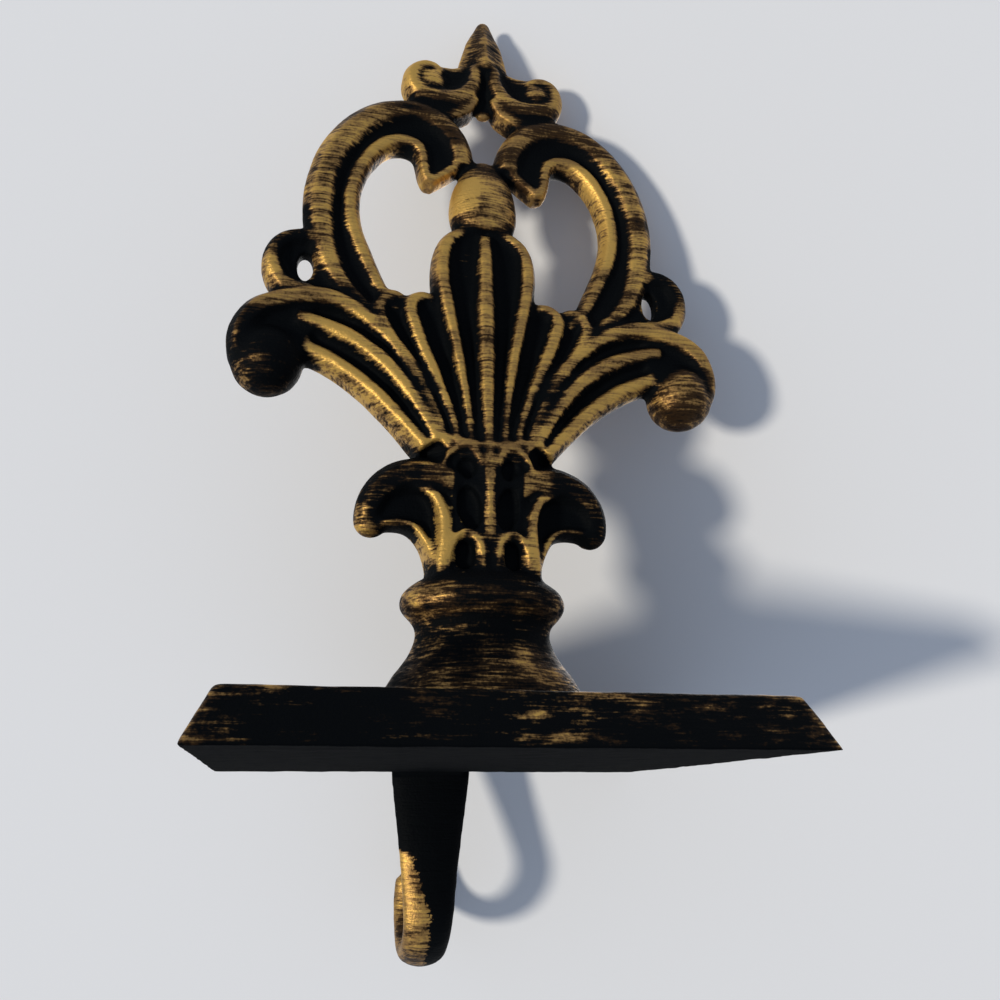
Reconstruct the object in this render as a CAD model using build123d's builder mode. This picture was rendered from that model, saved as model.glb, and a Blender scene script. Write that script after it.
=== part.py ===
"""Mantel hook, cast in one piece.

A bevelled plate rests on a shelf. A flattened pedestal on it carries a calyx, a
fan of leaves, two open C-scroll arms and a spear finial. A strap hook springs from
the plate's rear edge and curls up behind it.

X runs across the face of the ornament, Z up, and the hook lies towards +Y.
The origin is the centre of the plate's flat underside.
"""
import math
import os

from build123d import *

os.makedirs("parts", exist_ok=True)

# Plate that rests on the shelf
plate_width = 100.0
plate_depth = 94.0
plate_height = 9.0
plate_bevel = 4.2
plate_edge_radius = 1.0

# Pedestal: half widths of its mouldings and their heights above the plate
foot_half_width = 20.6
foot_rise = 11.5
waist_half_width = 13.1
waist_rise = 3.5
collar_half_width = 16.0
collar_rise = 9.3
neck_half_width = 11.2
pedestal_flatness = 0.74

# Ornament: it stands ahead of the plate's middle, on the pedestal's neck
ornament_y = -9.2
figure_half_span = 50.0
figure_height = 133.3
body_half_depth = 6.4
web_half_thickness = 1.9
ball_radius = 7.1
loop_hole_width = 3.0
loop_hole_height = 6.4
volute_knob_radius = 4.2
spear_edge = 0.8
spear_tip_radius = 1.9
arch_width = 3.2
arch_height = 5.4
calyx_pocket_depth = 2.2

# Strap hook
strap_root_width = 18.0
strap_bend_width = 10.8
strap_tip_width = 9.4
strap_thickness = 6.4
hook_drop = 43.5
throat_width = 18.5
tip_rise = 3.4
tip_knob_radius = 3.4
root_bend_radius = 4.2
root_flare = 2.6
root_seat = 0.5

# Heights and places that follow from the sizes above
pedestal_height = foot_rise + waist_rise + collar_rise
neck_z = plate_height + pedestal_height
span_step = figure_half_span / 50.0
rise_step = figure_height / 133.3
rib_step = min(span_step, rise_step)
bend_radius = (throat_width + strap_thickness) / 2
strap_y = plate_depth / 2 + strap_thickness / 2 - root_seat
strap_end_z = bend_radius + strap_thickness / 2 - hook_drop
face = Plane.XZ.offset(-ornament_y)
front_back = (-1, 1)

# Corners of a rib's eight-sided section, for a half width and a half depth of 1
corner_turns = [math.radians(22.5 + 45 * step) for step in range(8)]
corner_reach = 1 / math.cos(math.radians(22.5))
rib_corners = [(corner_reach * math.cos(t), corner_reach * math.sin(t)) for t in corner_turns]


def level(z):
    """A level plane of the ornament, z above the neck."""
    return Plane(origin=(0, ornament_y, neck_z + z * rise_step))


def at(x, z):
    """A place on the ornament's face: x from the middle, z above the neck."""
    return (x * span_step, neck_z + z * rise_step)


def rib(points, widths, depths):
    """A tapering rib through the points, with half widths and half depths from end to end.

    Two points give a straight rib.
    """
    places = [at(x, z) for x, z in points]
    with BuildLine(face) as route:
        if len(places) == 2:
            Line(*places)
        else:
            Spline(*places)
    sections = []
    for index, (width, depth) in enumerate(zip(widths, depths)):
        along = index / (len(widths) - 1)
        across = Plane(origin=route.line @ along, x_dir=(0, 1, 0), z_dir=route.line % along)
        with BuildSketch(across) as section:
            half_width = width * rib_step
            Polygon(*[(depth * out, half_width * side) for out, side in rib_corners], align=None)
        sections.append(section.sketch)
    sweep(sections, path=route.line, multisection=True)


def panel(first, second, half_thickness=web_half_thickness):
    """A thin wall that fills the space between two rib routes."""
    with BuildSketch(face) as outline:
        with BuildLine():
            one = Spline(*[at(x, z) for x, z in first])
            two = Spline(*[at(x, z) for x, z in second])
            Line(one @ 0, two @ 0)
            Line(one @ 1, two @ 1)
        make_face()
    extrude(outline.sketch, amount=half_thickness, both=True)


# Plate with four sloping sides
with BuildPart() as plate:
    with BuildSketch():
        Rectangle(plate_width, plate_depth)
    with BuildSketch(Plane.XY.offset(plate_height)):
        Rectangle(plate_width - 2 * plate_bevel, plate_depth - 2 * plate_bevel)
    loft()
    fillet(plate.edges().filter_by(lambda edge: edge.center().Z > 0.1), plate_edge_radius)

# Pedestal: flared foot, hollow waist and rounded collar, flattened front to back
collar_base = foot_rise + waist_rise
foot_flare = foot_half_width - waist_half_width
collar_bulge = collar_half_width - waist_half_width
pedestal_profile = (
    (-1.0, foot_half_width),
    (0.22 * foot_rise, foot_half_width - 0.22 * foot_flare),
    (0.56 * foot_rise, waist_half_width + 0.46 * foot_flare),
    (foot_rise, waist_half_width + 0.2),
    (collar_base, waist_half_width + 0.1),
    (collar_base + 0.20 * collar_rise, waist_half_width + 0.6 * collar_bulge),
    (collar_base + 0.42 * collar_rise, collar_half_width),
    (collar_base + 0.66 * collar_rise, waist_half_width + 0.8 * collar_bulge),
    (collar_base + 0.88 * collar_rise, waist_half_width),
    (pedestal_height, neck_half_width),
)
with BuildPart() as pedestal:
    for rise, half_width in pedestal_profile:
        with BuildSketch(Plane(origin=(0, ornament_y, plate_height + rise))):
            Ellipse(half_width, half_width * pedestal_flatness)
    loft()

# Calyx: the flattened cup above the neck, with hollows cut between its ribs
calyx_sections = (
    (-1.0, neck_half_width - 0.6, body_half_depth + 1.0),
    (5.0, neck_half_width + 0.2, body_half_depth + 0.8),
    (15.0, neck_half_width - 0.4, body_half_depth + 0.4),
    (26.5, neck_half_width + 1.6, body_half_depth - 0.4),
)
with BuildPart() as calyx:
    for z, half_width, half_depth in calyx_sections:
        with BuildSketch(level(z)):
            Ellipse(half_width * span_step, half_depth)
    loft()
    for sign in front_back:
        skin = face.offset(sign * (body_half_depth + 3))
        with BuildSketch(skin):
            for side in (-1, 1):
                with Locations(at(side * 4.5, 3.4)):
                    SlotOverall(arch_height, arch_width, rotation=90)
                with Locations(at(side * 3.7, 12.6)):
                    Ellipse(2.1, 4.3, rotation=side * -9)
                with Locations(at(side * 4.3, 20.6)):
                    Ellipse(1.7, 2.1)
        extrude(amount=-sign * (3 + calyx_pocket_depth), mode=Mode.SUBTRACT)

# Raised work on one side of the calyx: a broad side rib, and the rims over its hollows
with BuildPart() as calyx_side:
    rib(
        [(8.8, -0.8), (8.5, 5.0), (8.5, 10.6), (10.4, 15.0), (14.0, 16.6)],
        widths=(2.3, 2.3, 2.2, 1.8, 1.3),
        depths=(6.6, 6.9, 6.8, 6.2, 5.2),
    )
    rib(
        [(1.2, -0.8), (1.5, 3.6), (2.7, 6.7), (4.5, 7.9), (6.3, 6.7), (7.5, 3.6), (7.8, -0.8)],
        widths=(0.8, 0.9, 1.0, 0.9, 0.8),
        depths=(7.8, 7.9, 7.6, 7.1, 6.4),
    )
    rib(
        [(1.2, 17.2), (1.5, 21.4), (4.4, 25.2), (7.6, 23.4), (8.3, 18.8)],
        widths=(0.8, 1.2, 1.5, 1.2, 0.8),
        depths=(7.2, 7.3, 7.1, 6.5, 5.6),
    )

# Curled leaf beside the calyx: a thick roll with a rounded tip over a hollow underside
leaf_tip = at(21.8, 10.5)
leaf_tip_radius = 3.4
calyx_leaf_under = [(10.2, 1.4), (11.5, 6.0), (13.8, 9.0), (17.0, 9.9), (20.0, 9.4)]
with BuildPart() as calyx_leaf:
    panel(calyx_leaf_under, [(8.5, 15), (12.5, 17), (18, 15.5)], half_thickness=2.6)
    rib(
        [(6, 17.4), (12.5, 19.2), (18.0, 17.9), (21.4, 14.4), (22.2, 10.2)],
        widths=(4.0, 4.2, 3.9, 3.3, 2.8),
        depths=(6.4, 6.2, 5.6, 4.8, 3.6),
    )
    rib(calyx_leaf_under, widths=(0.8, 1.1, 1.1, 0.9), depths=(5.4, 4.6, 4.2, 3.6))
    with Locations((leaf_tip[0], ornament_y, leaf_tip[1])):
        Sphere(leaf_tip_radius)

# Fan: a thin wall with flutes that spread from the waist
fan_routes = (
    [(3.2, 25), (4.4, 37), (6.4, 49), (8.4, 59), (9.1, 67), (7.6, 72.6), (4.2, 75.2), (0.6, 74.6)],
    [(5.8, 25), (8.6, 36), (12.0, 44.5), (14.8, 52), (15.0, 57.2), (12.6, 58.6), (10.6, 56.0)],
    [(8.2, 25), (11.6, 35), (16.8, 44), (21.0, 51), (21.6, 55.8), (19.0, 58.2), (16.6, 55.6)],
)
with BuildPart() as fan:
    with BuildSketch(level(25)):
        Ellipse((neck_half_width + 1.2) * span_step, body_half_depth - 0.6)
    with BuildSketch(level(35)):
        Ellipse((neck_half_width + 1.0) * span_step, body_half_depth - 2.2)
    with BuildSketch(level(48)):
        Ellipse((neck_half_width - 1.0) * span_step, web_half_thickness)
    loft()
    for route in fan_routes:
        rib(route, widths=(1.3, 1.7, 2.1, 2.2, 1.2), depths=(6.2, 5.2, 4.6, 4.2, 2.4))
    panel([(0, 30), (0, 45), (0, 60), (0, 74.6)], fan_routes[0][:7])
    panel([(0, 30), (0, 44), (0, 59.0)], [(11, 28), (22.5, 46), (21, 58.6)])

# Middle leaf of the fan: its long ridge, the waist band under it and the calyx's middle rib
with BuildPart() as fan_middle:
    rib(
        [(0, 24), (0, 74.4)],
        widths=(1.8, 2.4, 2.8, 2.6, 1.8),
        depths=(6.6, 6.0, 5.2, 4.8, 3.6),
    )
    rib(
        [(-12.4, 25.6), (-6, 26.4), (0, 25.2), (6, 26.4), (12.4, 25.6)],
        widths=(0.9, 1.3, 1.3, 1.3, 0.9),
        depths=(3.6, 6.6, 7.0, 6.6, 3.6),
    )
    rib([(0, 7.0), (0, 25)], widths=(0.8, 1.2, 1.5), depths=(7.6, 7.8, 7.2))

# Outer leaf of the fan: three ridges that run out and roll over a ball
leaf_lower = [(12.0, 24.7), (16.8, 30.6), (22.3, 36.1), (28.8, 41.0), (36.5, 44.6)]
leaf_ridge = [(9.8, 26.0), (14.2, 34.2), (20.0, 41.7), (28.0, 47.3), (38.0, 50.3)]
leaf_upper = [(9.0, 31.0), (13.5, 40.7), (19.5, 47.7), (26.0, 52.9), (33.0, 55.3), (40.0, 53.9)]
leaf_roll = [(45.6, 50.9), (48.1, 45.7), (46.6, 39.7)]
ball_place = at(43.0, 41.7)
with BuildPart() as outer_leaf:
    rib(leaf_lower, widths=(1.9, 2.1, 2.2, 2.2, 2.2), depths=(6.0, 5.0, 4.6, 4.2, 4.0))
    rib(leaf_ridge, widths=(1.8, 2.3, 2.6, 2.6, 2.2), depths=(6.2, 5.6, 5.2, 5.0, 4.6))
    rib(leaf_upper + leaf_roll, widths=(1.2, 2.0, 2.6, 3.2, 2.2), depths=(4.0, 4.4, 5.0, 5.6, 4.6))
    panel(leaf_lower, leaf_upper)
    panel([(35.0, 44.4), (39.5, 43.2), (43.0, 42.0)], [(35.0, 53.4), (40.0, 52.0), (45.4, 48.6)], 3.4)
    with Locations((ball_place[0], ornament_y, ball_place[1])):
        Sphere(ball_radius)

# Scroll arm: a thick outer ridge and a thin inner one with a groove between them
arm_outer = [
    (22.5, 53.2), (27.0, 56.7), (31.0, 61.7), (33.6, 68.7), (34.7, 77.7), (33.2, 87.7),
    (28.0, 97.5), (20.0, 103.1), (12.5, 103.1), (7.8, 99.7), (5.5, 94.7), (5.4, 92.2),
]
arm_inner = [
    (18.0, 54.7), (21.5, 58.7), (24.5, 64.7), (27.6, 72.2), (28.7, 79.7), (27.2, 87.2),
    (23.6, 93.3), (18.6, 96.3), (14.6, 95.1), (13.3, 90.7), (12.2, 86.9),
]
arm_end = [arm_inner[-1], (8.6, 89.6), (4.4, 93.6)]
with BuildPart() as arm:
    panel(arm_outer, arm_inner)
    rib(arm_outer, widths=(1.8, 3.4, 3.9, 3.7, 3.1), depths=(3.6, 4.0, 4.2, 4.2, 3.6))
    rib(arm_inner, widths=(1.6, 2.2, 2.2, 2.0, 1.5), depths=(3.0, 3.4, 3.4, 3.4, 3.0))
    rib(arm_end, widths=(1.4, 1.3, 1.6), depths=(3.0, 3.0, 3.0))

# Small loop between the arm and the outer leaf, with a narrow hole beside the arm
with BuildPart() as loop:
    rib(
        [(35.0, 56.7), (40.6, 57.8), (43.4, 62.9), (41.4, 67.9), (36.6, 69.3), (33.6, 68.5)],
        widths=(2.6, 2.6, 2.3, 2.3, 2.2),
        depths=(4.2, 4.2, 4.0, 3.8, 3.4),
    )
    with BuildSketch(face):
        with Locations(at(39.4, 63.3)):
            Ellipse(4.8, 5.6)
        with Locations(at(34.4, 59.2)):
            Ellipse(4.6, 4.2)
        with Locations(at(36.9, 62.8)):
            Ellipse(loop_hole_width / 2, loop_hole_height / 2, mode=Mode.SUBTRACT)
    extrude(amount=web_half_thickness, both=True)

# Volute on the shoulder of the arm, curling round a knob
knob_place = at(12.3, 112.9)
volute_route = [
    (2.6, 118.6), (2.8, 113.4), (5.6, 109.8), (10.8, 108.6), (15.4, 110.6), (16.0, 114.8),
    (13.0, 117.0), (10.0, 115.4),
]
with BuildPart() as volute:
    rib(volute_route, widths=(1.7, 2.8, 2.8, 2.3, 1.6), depths=(3.4, 3.8, 4.0, 4.0, 3.2))
    panel([(2, 108), (2, 113), (2, 119)], [(12, 108), (13, 113), (11, 118)])
    panel([(2.6, 106.6), (7, 104), (16, 104)], [(1.0, 110), (7, 111), (16, 109)], half_thickness=3.2)
    with Locations((knob_place[0], ornament_y, knob_place[1])):
        Sphere(volute_knob_radius)

# Bud between the arms, flattened like the pedestal
bud_profile = ((75.4, 5.2), (76.6, 6.6), (79.6, 7.5), (84.0, 7.4), (88.6, 6.0), (91.8, 4.2), (94.4, 1.2))
with BuildPart() as bud:
    for z, half_width in bud_profile:
        with BuildSketch(level(z)):
            Ellipse(half_width, half_width * pedestal_flatness)
    loft()

# Spear finial with a ridge down its front and back, and its root in the groove below
spear_top = 131.8
spear_sections = (
    (106.2, 1.4, 1.2), (116.2, 2.0, 1.8), (118.8, 6.2, 4.4), (121.8, 5.5, 4.2),
    (126.8, 4.2, 3.4), (spear_top, spear_tip_radius, 1.8),
)
with BuildPart() as spear:
    for z, half_width, half_depth in spear_sections:
        with BuildSketch(level(z)):
            with BuildLine():
                Polyline(
                    (half_width, spear_edge), (0, half_depth), (-half_width, spear_edge),
                    (-half_width, -spear_edge), (0, -half_depth), (half_width, -spear_edge),
                    close=True,
                )
            make_face()
    loft(ruled=True)
    with Locations((0, ornament_y, neck_z + spear_top * rise_step)):
        Sphere(spear_tip_radius)

# Strap hook: out of the plate's rear edge, down, and up again in a round bend
root_z = plate_height / 2 - 0.4
strap_widths = (
    strap_root_width + root_flare,
    strap_root_width - 1.2,
    strap_bend_width + 1.4,
    strap_bend_width,
    strap_tip_width,
)
with BuildPart() as hook:
    with BuildLine(Plane.YZ) as strap_route:
        root = Line((plate_depth / 2 - plate_bevel - 2, root_z), (strap_y - root_bend_radius, root_z))
        bend = RadiusArc(root @ 1, (strap_y, root_z - root_bend_radius), root_bend_radius)
        drop = Line(bend @ 1, (strap_y, strap_end_z))
        curl = TangentArc(
            drop @ 1, (strap_y + 2 * bend_radius, strap_end_z), tangent=drop % 1
        )
        Line(curl @ 1, (strap_y + 2 * bend_radius, strap_end_z + tip_rise))
    strap_sections = []
    for index, width in enumerate(strap_widths):
        along = index / (len(strap_widths) - 1)
        across = Plane(
            origin=strap_route.line @ along, x_dir=(1, 0, 0), z_dir=strap_route.line % along
        )
        with BuildSketch(across) as strap_section:
            Ellipse(width / 2, strap_thickness / 2)
        strap_sections.append(strap_section.sketch)
    sweep(strap_sections, path=strap_route.line, multisection=True)
    with Locations(strap_route.line @ 1):
        Sphere(tip_knob_radius)

# One half of the ornament, which is mirrored to make the other
with BuildPart() as half_figure:
    for piece in (fan, calyx_side, calyx_leaf, outer_leaf, arm, loop, volute):
        add(piece.part)

# The whole casting
with BuildPart() as hook_casting:
    for piece in (plate, hook, pedestal, calyx, half_figure):
        add(piece.part)
    mirror(half_figure.part, about=Plane.YZ)
    for piece in (fan_middle, bud, spear):
        add(piece.part)

hook_casting.part.label = "hook_casting"
export_step(hook_casting.part, "parts/hook_casting.step")
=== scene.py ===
import math

import bmesh
import bpy
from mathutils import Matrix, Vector


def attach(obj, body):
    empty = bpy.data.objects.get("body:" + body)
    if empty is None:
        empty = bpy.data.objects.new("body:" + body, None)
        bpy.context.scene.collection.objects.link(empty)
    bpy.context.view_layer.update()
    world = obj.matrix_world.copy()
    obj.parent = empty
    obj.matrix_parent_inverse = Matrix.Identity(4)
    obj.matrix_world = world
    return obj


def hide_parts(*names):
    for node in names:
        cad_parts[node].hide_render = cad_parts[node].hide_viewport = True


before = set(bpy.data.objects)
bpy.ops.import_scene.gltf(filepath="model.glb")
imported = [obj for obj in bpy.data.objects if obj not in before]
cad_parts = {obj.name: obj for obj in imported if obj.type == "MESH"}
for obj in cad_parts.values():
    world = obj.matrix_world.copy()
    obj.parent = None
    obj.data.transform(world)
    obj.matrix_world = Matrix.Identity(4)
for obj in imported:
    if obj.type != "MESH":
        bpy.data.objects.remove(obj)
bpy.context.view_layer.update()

scene = bpy.context.scene
scene.view_settings.view_transform = "Standard"


# The camera looks up at the ornament from a little left of the plate, as the photograph
# does. Its place and turn come from the plate's corners and the ornament's mirrored points.
lens_to_sensor = 0.9469
camera_turn = (108.03, 0.35, -13.09)
camera_data = bpy.data.cameras.new("camera")
camera_data.sensor_width = 36
camera_data.lens = camera_data.sensor_width * lens_to_sensor
camera_data.clip_start = 0.005
camera = bpy.data.objects.new("camera", camera_data)
camera.location = (-0.0371, -0.1823, -0.0081)
camera.rotation_euler = [math.radians(turn) for turn in camera_turn]
scene.collection.objects.link(camera)
scene.camera = camera


# The pale, matt table that the hook lies on in the photograph. It passes just behind the
# hook's bend, a rear corner of the plate and the top of the ornament. It is see-through
# from its other side, so that it never hides the casting.
table_normal = Vector((-0.418, -0.827, -0.376)).normalized()
table_depth = 0.0607
table_reach = 0.9
table_across = Vector((1, 0, 0)) - table_normal * table_normal.x
table_across.normalize()
table_up = table_normal.cross(table_across)
table_centre = table_normal * -table_depth
table_mesh = bpy.data.meshes.new("table")
table_mesh.from_pydata(
    [
        table_centre + (table_across * side + table_up * end) * table_reach
        for side, end in ((-1, -1), (1, -1), (1, 1), (-1, 1))
    ],
    [],
    [(0, 1, 2, 3)],
)
table = bpy.data.objects.new("table", table_mesh)
scene.collection.objects.link(table)
table.visible_shadow = False


class Tree:
    """A node tree that gains one node at a time."""

    def __init__(self, tree):
        tree.nodes.clear()
        self.tree = tree

    def node(self, kind, settings=None, *terms, **sockets):
        """Adds a node, its settings first. Its sockets go in order, by name, or both."""
        made = self.tree.nodes.new(kind)
        for name, value in (settings or {}).items():
            setattr(made, name, value)
        named = [(made.inputs[name.replace("_", " ")], value) for name, value in sockets.items()]
        for place, value in [*zip(made.inputs, terms), *named]:
            if isinstance(value, Value):
                value = value.socket
            if isinstance(value, bpy.types.NodeSocket):
                self.tree.links.new(value, place)
            else:
                place.default_value = value
        return made

    def value(self, socket):
        return Value(self, socket)


class Value:
    """A socket that adds a Math node for each sum that is written with it."""

    def __init__(self, tree, socket):
        self.tree, self.socket = tree, socket

    def maths(self, operation, *terms):
        node = self.tree.node("ShaderNodeMath", {"operation": operation}, *terms)
        return Value(self.tree, node.outputs[0])

    def __add__(self, other):
        return self.maths("ADD", self, other)

    def __radd__(self, other):
        return self.maths("ADD", other, self)

    def __sub__(self, other):
        return self.maths("SUBTRACT", self, other)

    def __rsub__(self, other):
        return self.maths("SUBTRACT", other, self)

    def __mul__(self, other):
        return self.maths("MULTIPLY", self, other)

    def __rmul__(self, other):
        return self.maths("MULTIPLY", other, self)

    def __truediv__(self, other):
        return self.maths("DIVIDE", self, other)

    def clamped(self):
        return self.maths("MINIMUM", self.maths("MAXIMUM", self, 0.0), 1.0)

    def ramp(self, low, high):
        """0 below low, 1 above high, and smooth between."""
        part = ((self - low) / (high - low)).clamped()
        return part * part * (3.0 - 2.0 * part)


class Finish(Tree):
    """A material and its tree."""

    def __init__(self, name):
        self.material = bpy.data.materials.new(name)
        self.material.use_nodes = True
        super().__init__(self.material.node_tree)


paper = Finish("pale_table")
seen_from_behind = paper.node("ShaderNodeNewGeometry").outputs["Backfacing"]
matt_white = paper.node("ShaderNodeBsdfDiffuse", Color=(0.74, 0.745, 0.76, 1)).outputs[0]
see_through = paper.node("ShaderNodeBsdfTransparent").outputs[0]
table_face = paper.node("ShaderNodeMixShader", None, seen_from_behind, matt_white, see_through)
paper.node("ShaderNodeOutputMaterial", Surface=table_face.outputs[0])
table_mesh.materials.append(paper.material)


# Soft daylight: a low, slightly warm light from the left throws the shadows to the right,
# a weak lamp fills the far side, and the pale, bluish room lights the rest.
window_way = Vector((-0.826, -0.495, -0.270))
window = bpy.data.lights.new("window", "SUN")
window.energy = 2.2
window.angle = math.radians(8)
window.color = (1.0, 0.93, 0.80)
window_stand = bpy.data.objects.new("window", window)
window_stand.rotation_euler = (-window_way).to_track_quat("-Z", "Y").to_euler()
scene.collection.objects.link(window_stand)

ornament_middle = Vector((0, 0, 0.06))
fill = bpy.data.lights.new("rear_fill", "AREA")
fill.shape = "DISK"
fill.size = 0.8
fill.energy = 9
fill_stand = bpy.data.objects.new("rear_fill", fill)
fill_stand.location = (0.5, 1.0, 0.5)
fill_aim = ornament_middle - fill_stand.location
fill_stand.rotation_euler = fill_aim.to_track_quat("-Z", "Y").to_euler()
scene.collection.objects.link(fill_stand)

world = bpy.data.worlds.new("room")
world.use_nodes = True
scene.world = world
room = Tree(world.node_tree)
room_light = room.node("ShaderNodeBackground", Color=(0.69, 0.80, 1.0, 1), Strength=0.49)
room_seen = room.node("ShaderNodeBackground", Color=(0.70, 0.71, 0.73, 1), Strength=1.0)
camera_ray = room.node("ShaderNodeLightPath").outputs["Is Camera Ray"]
room_choice = room.node(
    "ShaderNodeMixShader", None, camera_ray, room_light.outputs[0], room_seen.outputs[0]
)
room.node("ShaderNodeOutputWorld", Surface=room_choice.outputs[0])


# The casting: grey iron poured in a sand mould, in one piece from the finial's tip to the
# hook's. Its ridges meet in soft fillets, its skin is slightly uneven, and it is painted
# black with antique gold brushed over the high spots.
weld_gap = 2e-6
grid_step = 0.00046
kept_share = 0.35
casting_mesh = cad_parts["hook_casting"].data.copy()
casting_mesh.name = "casting"
loose = bmesh.new()
loose.from_mesh(casting_mesh)
bmesh.ops.remove_doubles(loose, verts=loose.verts, dist=weld_gap)
loose.to_mesh(casting_mesh)
loose.free()
casting = bpy.data.objects.new("casting", casting_mesh)
scene.collection.objects.link(casting)
remesh = casting.modifiers.new("even_grid", "REMESH")
remesh.mode = "VOXEL"
remesh.voxel_size = grid_step

paint = Finish("painted_casting")
skin_sizes = {
    "Fillet steps": 5,
    "Relief steps": 70,
    "Ridge steps": 14,
    "Unevenness": 0.00042,
    "Lump scale": 170.0,
    "Paint": paint.material,
}
skin_kinds = {int: "NodeSocketInt", float: "NodeSocketFloat"}
cast = Tree(bpy.data.node_groups.new("cast_skin", "GeometryNodeTree"))
new_socket = cast.tree.interface.new_socket
new_socket("Geometry", in_out="INPUT", socket_type="NodeSocketGeometry")
new_socket("Geometry", in_out="OUTPUT", socket_type="NodeSocketGeometry")
skin_ids = {}
for label, size in skin_sizes.items():
    kind = skin_kinds.get(type(size), "NodeSocketMaterial")
    skin_ids[label] = new_socket(label, in_out="INPUT", socket_type=kind).identifier
given = cast.node("NodeGroupInput").outputs
here = cast.node("GeometryNodeInputPosition").outputs[0]
outward = cast.node("GeometryNodeInputNormal").outputs[0]


def blurred_place(steps):
    """Each vertex's place, averaged with its neighbours' over so many steps."""
    blur = cast.node(
        "GeometryNodeBlurAttribute",
        {"data_type": "FLOAT_VECTOR"},
        Value=here,
        Iterations=given[steps],
    )
    return blur.outputs["Value"]


def with_height(before, name, steps):
    """Stores how far each vertex stands above its surroundings, as a named attribute."""
    gap = cast.node("ShaderNodeVectorMath", {"operation": "SUBTRACT"}, here, blurred_place(steps))
    rise = cast.node("ShaderNodeVectorMath", {"operation": "DOT_PRODUCT"}, gap.outputs[0], outward)
    stored = cast.node(
        "GeometryNodeStoreNamedAttribute",
        {"data_type": "FLOAT", "domain": "POINT"},
        Geometry=before,
        Name=name,
        Value=rise.outputs["Value"],
    )
    return stored.outputs[0]


softened = cast.node(
    "GeometryNodeSetPosition", Geometry=given["Geometry"], Position=blurred_place("Fillet steps")
)
measured = with_height(softened.outputs[0], "relief", "Relief steps")
measured = with_height(measured, "ridge", "Ridge steps")

# The sand's grain only ever sinks the skin, so the casting stays within its sizes
grain_top = 0.75
grain = cast.node("ShaderNodeTexNoise", Scale=given["Lump scale"], Detail=2.5)
grain_lift = (cast.value(grain.outputs[0]) - grain_top) * cast.value(given["Unevenness"])
grain_way = cast.node("ShaderNodeVectorMath", {"operation": "SCALE"}, outward, Scale=grain_lift)
roughened = cast.node("GeometryNodeSetPosition", Geometry=measured, Offset=grain_way.outputs[0])
whole = cast.node("GeometryNodeRealizeInstances", Geometry=roughened.outputs[0])
painted = cast.node("GeometryNodeSetMaterial", Geometry=whole.outputs[0], Material=given["Paint"])
cast.node("NodeGroupOutput", Geometry=painted.outputs[0])

skin = casting.modifiers.new("cast_skin", "NODES")
skin.node_group = cast.tree
for label, size in skin_sizes.items():
    skin[skin_ids[label]] = size
thin = casting.modifiers.new("thin", "DECIMATE")
thin.ratio = kept_share

depsgraph = bpy.context.evaluated_depsgraph_get()
finished = bpy.data.meshes.new_from_object(
    casting.evaluated_get(depsgraph), preserve_all_data_layers=True, depsgraph=depsgraph
)
casting.modifiers.clear()
casting.data = finished
for face in finished.polygons:
    face.use_smooth = True

# The paint: matt black all over, then antique gold dragged over the high spots with a dry
# brush, so that the hollows, the plate and the pedestal stay mostly black. Its places are
# in millimetres from the middle of the plate's underside.
to_mm = 1000
place = paint.node("ShaderNodeTexCoord").outputs["Object"]
place_parts = paint.node("ShaderNodeSeparateXYZ", Vector=place).outputs
across = to_mm * paint.value(place_parts["X"])
height = to_mm * paint.value(place_parts["Z"])
leftward = 0 - across
below = 0 - height
side = across.maths("ABSOLUTE", across)
to_left = leftward.ramp(-2, 2)


def stored_height(name):
    """How far the skin stands above its surroundings, as the casting's tree stored it."""
    stored = paint.node("ShaderNodeAttribute", {"attribute_name": name})
    return to_mm * paint.value(stored.outputs["Fac"])


def band(value, low, high, edge):
    """1 from low to high and 0 outside, with soft edges as wide as edge."""
    return value.ramp(low - edge, low) * (1 - value.ramp(high, high + edge))


def noise(scale, detail, stretch=(1, 1, 1), roughness=0.55):
    """Noise over the casting, centred on 0 and finer along an axis with a larger stretch."""
    spread = paint.node("ShaderNodeMapping", Vector=place, Scale=stretch)
    pattern = paint.node(
        "ShaderNodeTexNoise",
        Vector=spread.outputs[0],
        Scale=scale,
        Detail=detail,
        Roughness=roughness,
    )
    return paint.value(pattern.outputs["Fac"]) - 0.5


relief = stored_height("relief")
ridge = stored_height("ridge")

# The brush went across the casting, so the marks of its bristles are long that way
bristles = noise(520, 3, stretch=(0.14, 0.5, 1.6))
hairs = noise(1500, 2, stretch=(0.13, 0.4, 1.7))
speckle = noise(1700, 3)
patches = noise(75, 3, stretch=(0.8, 1, 1.2))
scuffs = noise(330, 4, stretch=(0.5, 1, 1.1), roughness=0.7)
streaks = 1.6 * bristles + 1.5 * hairs + 0.8 * speckle

# The hook is black at its root. Further down it is gold along its left, in a strip that
# widens to half the hook and thins again in the bend
strip_taper = 4.4 * (1 - below.ramp(16, 28))
hook_left = (leftward - strip_taper + 8 * patches + 1.5 * bristles + 3 * speckle).ramp(-0.4, 1.0)
hook_strip = hook_left * (below + 10 * patches).ramp(17, 20)
hook_low = hook_strip * below.ramp(30, 37)

# The plate is scuffed all over, and more to the right and along its side edges
underside = band(height, -0.9, 0.25, 0.3)
on_plate = band(height, -0.6, 9.1, 0.4)
plate_worn = 0.48 + 0.18 * across.ramp(0, 30) + 0.12 * side.ramp(43, 50) + 2.6 * scuffs

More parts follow.
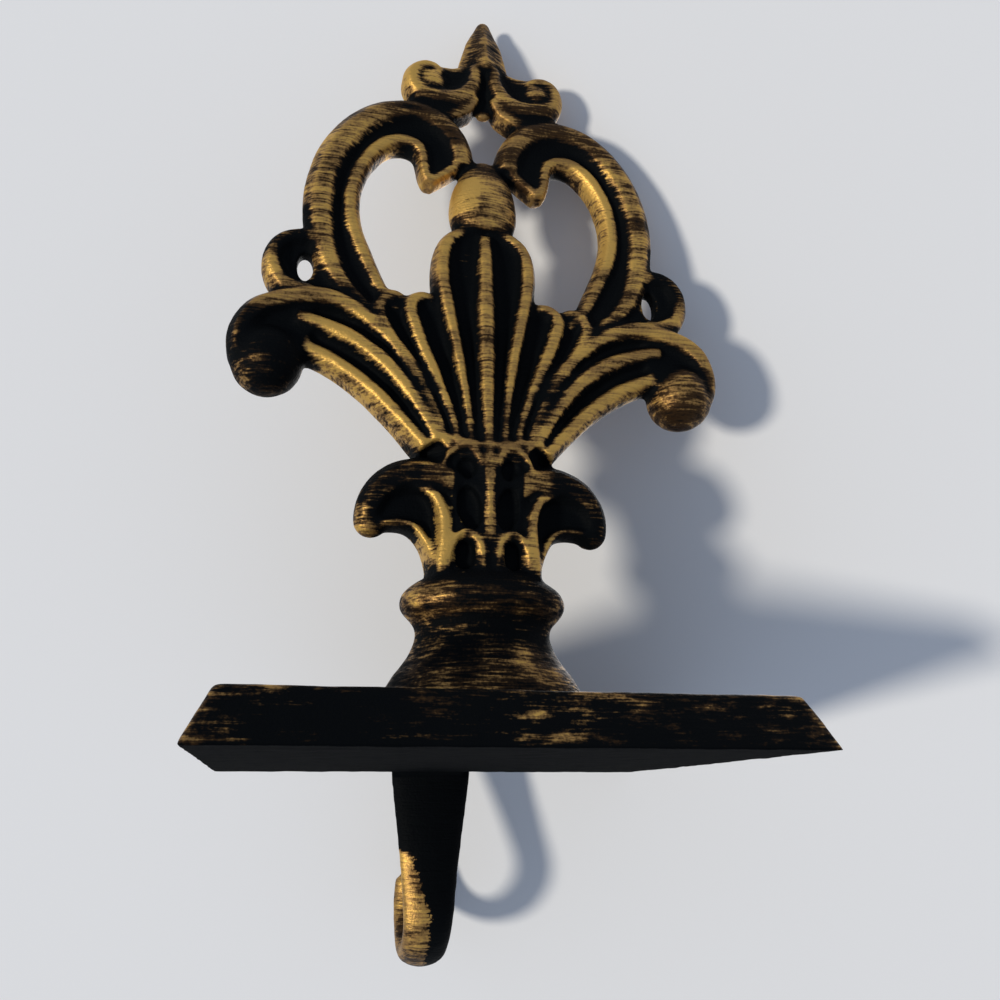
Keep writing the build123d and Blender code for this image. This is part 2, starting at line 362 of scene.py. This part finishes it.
# The pedestal is rubbed on its foot, its round moulding and its neck's ring
foot_wear = 0.30 * band(height, 9.4, 12.5, 1.2) + 0.17 * band(height, 14, 19, 2)
foot_wear = foot_wear + 0.35 * band(height, 14, 18.5, 2) * across.ramp(2, 6)
neck_wear = 0.32 * band(height, 22.5, 25.5, 1) * (1 - band(across, -4, 3, 2))
# A patch on the collar's left is painted yellower and given more gold, as a highlight of the light
# from the left
collar_highlight = band(across, -14, -8, 1.8) * band(height, 27.5, 31, 1.2)

# The calyx is painted brightest on its left, as a highlight where the light from the left falls,
# and is black in its hollows and at its leaves' ends
calyx_hollows = band(side, 1.6, 6.4, 0.8) * band(height, 41.5, 53.5, 1.2)
calyx_highlight = band(across, -13.5, -5.5, 1.2) * band(height, 33.5, 48, 1.5)
leaf_ends = side.ramp(11.5, 14) * (1 - height.ramp(55, 59)) * height.ramp(34, 36)
leaf_tips = side.ramp(18, 21) * (1 - height.ramp(47, 51)) * height.ramp(36, 38)
waist = band(side, 0, 8.5, 1) * band(height, 56.5, 61, 1)

# The fan's long leaves end in rolls over balls, with black loops above them. The left long leaf
# carries a yellower patch, a painted highlight of the light from the left
leaf_highlight = band(across, -32, -9, 2) * band(height, 61, 84, 3)
balls = side.ramp(35, 38) * band(height, 69, 83, 3)
rolls = side.ramp(27, 33) * band(height, 84, 91, 2)
loops = side.ramp(36, 38) * band(height, 93, 109, 2)
loop_edge = side.ramp(40.5, 42) * (1 - height.ramp(95.5, 98.5))

# The bud, the scroll arms and the volutes. The bud's lower left and the left volute's stem are
# painted yellower as highlights of the light from the left, and the bud's right side is painted
# darker as shade
bud_highlight = band(across, -8, -2.5, 1.2) * band(height, 113, 120, 1.5)
bud_shaded_right = band(across, -1.5, 9, 1.5) * band(height, 112, 130, 1)
rib_patch = band(across, 23.5, 28, 1) * band(height, 106, 129, 3)
arms_crown = band(height, 130, 141, 3)
stem_highlight = band(across, -18, -11, 1.5) * band(height, 142, 151, 2)

# How readily the casting took the gold: the hook's is the start, and each line is how much
# more or less the next part up took, between two heights
took_gold = -1.75
for low, high, more in (
    (0, 0.8, 0.75),  # the plate
    (8.6, 10.2, 0.62),  # the pedestal's foot
    (19, 22, 0.06),  # its neck
    (25.5, 27.5, -0.44),  # the collar under the calyx
    (32, 35, 0.45),  # the calyx
    (54, 60, 0.08),  # the fan
    (88, 98, 0.10),  # the scroll arms
    (162, 166, -0.35),  # the finial's tip
):
    took_gold = took_gold + more * height.ramp(low, high)
# The calyx's left side and the collar's left patch also take more gold here, as painted highlights
took_gold = (
    took_gold
    - 0.10 * arms_crown
    + 2.1 * hook_strip
    + on_plate * plate_worn
    + foot_wear
    + neck_wear
    - 0.5 * hook_low
    + 0.4 * collar_highlight
    + 0.25 * waist
    + 0.5 * calyx_highlight
    - 1.1 * calyx_hollows
    - 0.50 * leaf_ends
    - 0.3 * leaf_tips
    - balls * (0.05 + 0.65 * to_left)
    + 0.15 * rolls
    - loops * (1.1 - 0.95 * loop_edge)
)

# The brush reached what stands out, a narrow ridge sooner than a broad swell, and its marks
# and patches break the gold up. The flat plate follows its scuffs more than its relief
stands_out = (0.72 * relief + 2.1 * ridge) * (1 - 0.65 * on_plate)
reach = stands_out + took_gold + 0.85 * streaks + patches * (1.5 - 0.8 * on_plate)
gold_amount = reach.ramp(-0.30, 0.30)

# Where the gold lies thin it is brown, and where the brush left more of it it is yellow. The right
# half is painted a little browner as shade, and the patches on the left are painted yellower as
# highlights of the light from the left
bronze_and_shade = (
    0.04 * (1 - to_left)
    + 0.20 * balls
    + 0.12 * rolls
    + 0.15 * (1 - height.ramp(30, 36))
    + 0.30 * arms_crown
    + 0.22 * height.ramp(153, 158)
    + 0.15 * waist
)
yellow_and_highlights = (
    0.05 * hook_strip
    - 0.25 * hook_low
    + 0.2 * collar_highlight
    + 0.5 * calyx_highlight
    + 0.8 * bud_highlight
    + 0.35 * rib_patch
    + 0.3 * leaf_highlight
    + 0.35 * stem_highlight
)

# The further the brush reached, the more gold it laid on, and the bud's right side gets less, as
# painted shade
laid_on = 0.12 - 0.16 * bud_shaded_right + 0.66 * reach.ramp(-0.1, 0.8)
gold_lightness = laid_on + 0.55 * streaks + 1.5 * patches - bronze_and_shade + yellow_and_highlights

# The gold is partly metal and a little smoother than the black, which has hardly any gloss
black = (0.0022, 0.0029, 0.0036, 1)
brown_gold = (0.050, 0.027, 0.012, 1)
antique_gold = (0.30, 0.172, 0.060, 1)
yellow_gold = (0.62, 0.375, 0.095, 1)
thin_gold = paint.node(
    "ShaderNodeMixRGB",
    Fac=gold_lightness.ramp(0.05, 0.6),
    Color1=brown_gold,
    Color2=antique_gold,
)
full_gold = paint.node(
    "ShaderNodeMixRGB",
    Fac=gold_lightness.ramp(0.5, 1.05),
    Color1=thin_gold.outputs[0],
    Color2=yellow_gold,
)
paint_tone = paint.node(
    "ShaderNodeMixRGB", Fac=gold_amount, Color1=black, Color2=full_gold.outputs[0]
)
brush_marks = paint.node(
    "ShaderNodeBump",
    Strength=0.5,
    Distance=0.0005,
    Height=0.5 * speckle + 0.5 * bristles + 0.5 * hairs,
)
body = paint.node(
    "ShaderNodeBsdfPrincipled",
    Base_Color=paint_tone.outputs[0],
    Metallic=gold_amount * 0.75,
    Roughness=(0.62 - 0.14 * gold_amount + 0.3 * speckle + 0.5 * underside).clamped(),
    Specular_IOR_Level=0.03,
    Normal=brush_marks.outputs[0],
)
paint.node("ShaderNodeOutputMaterial", Surface=body.outputs[0])
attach(casting, "root")
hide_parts("hook_casting")
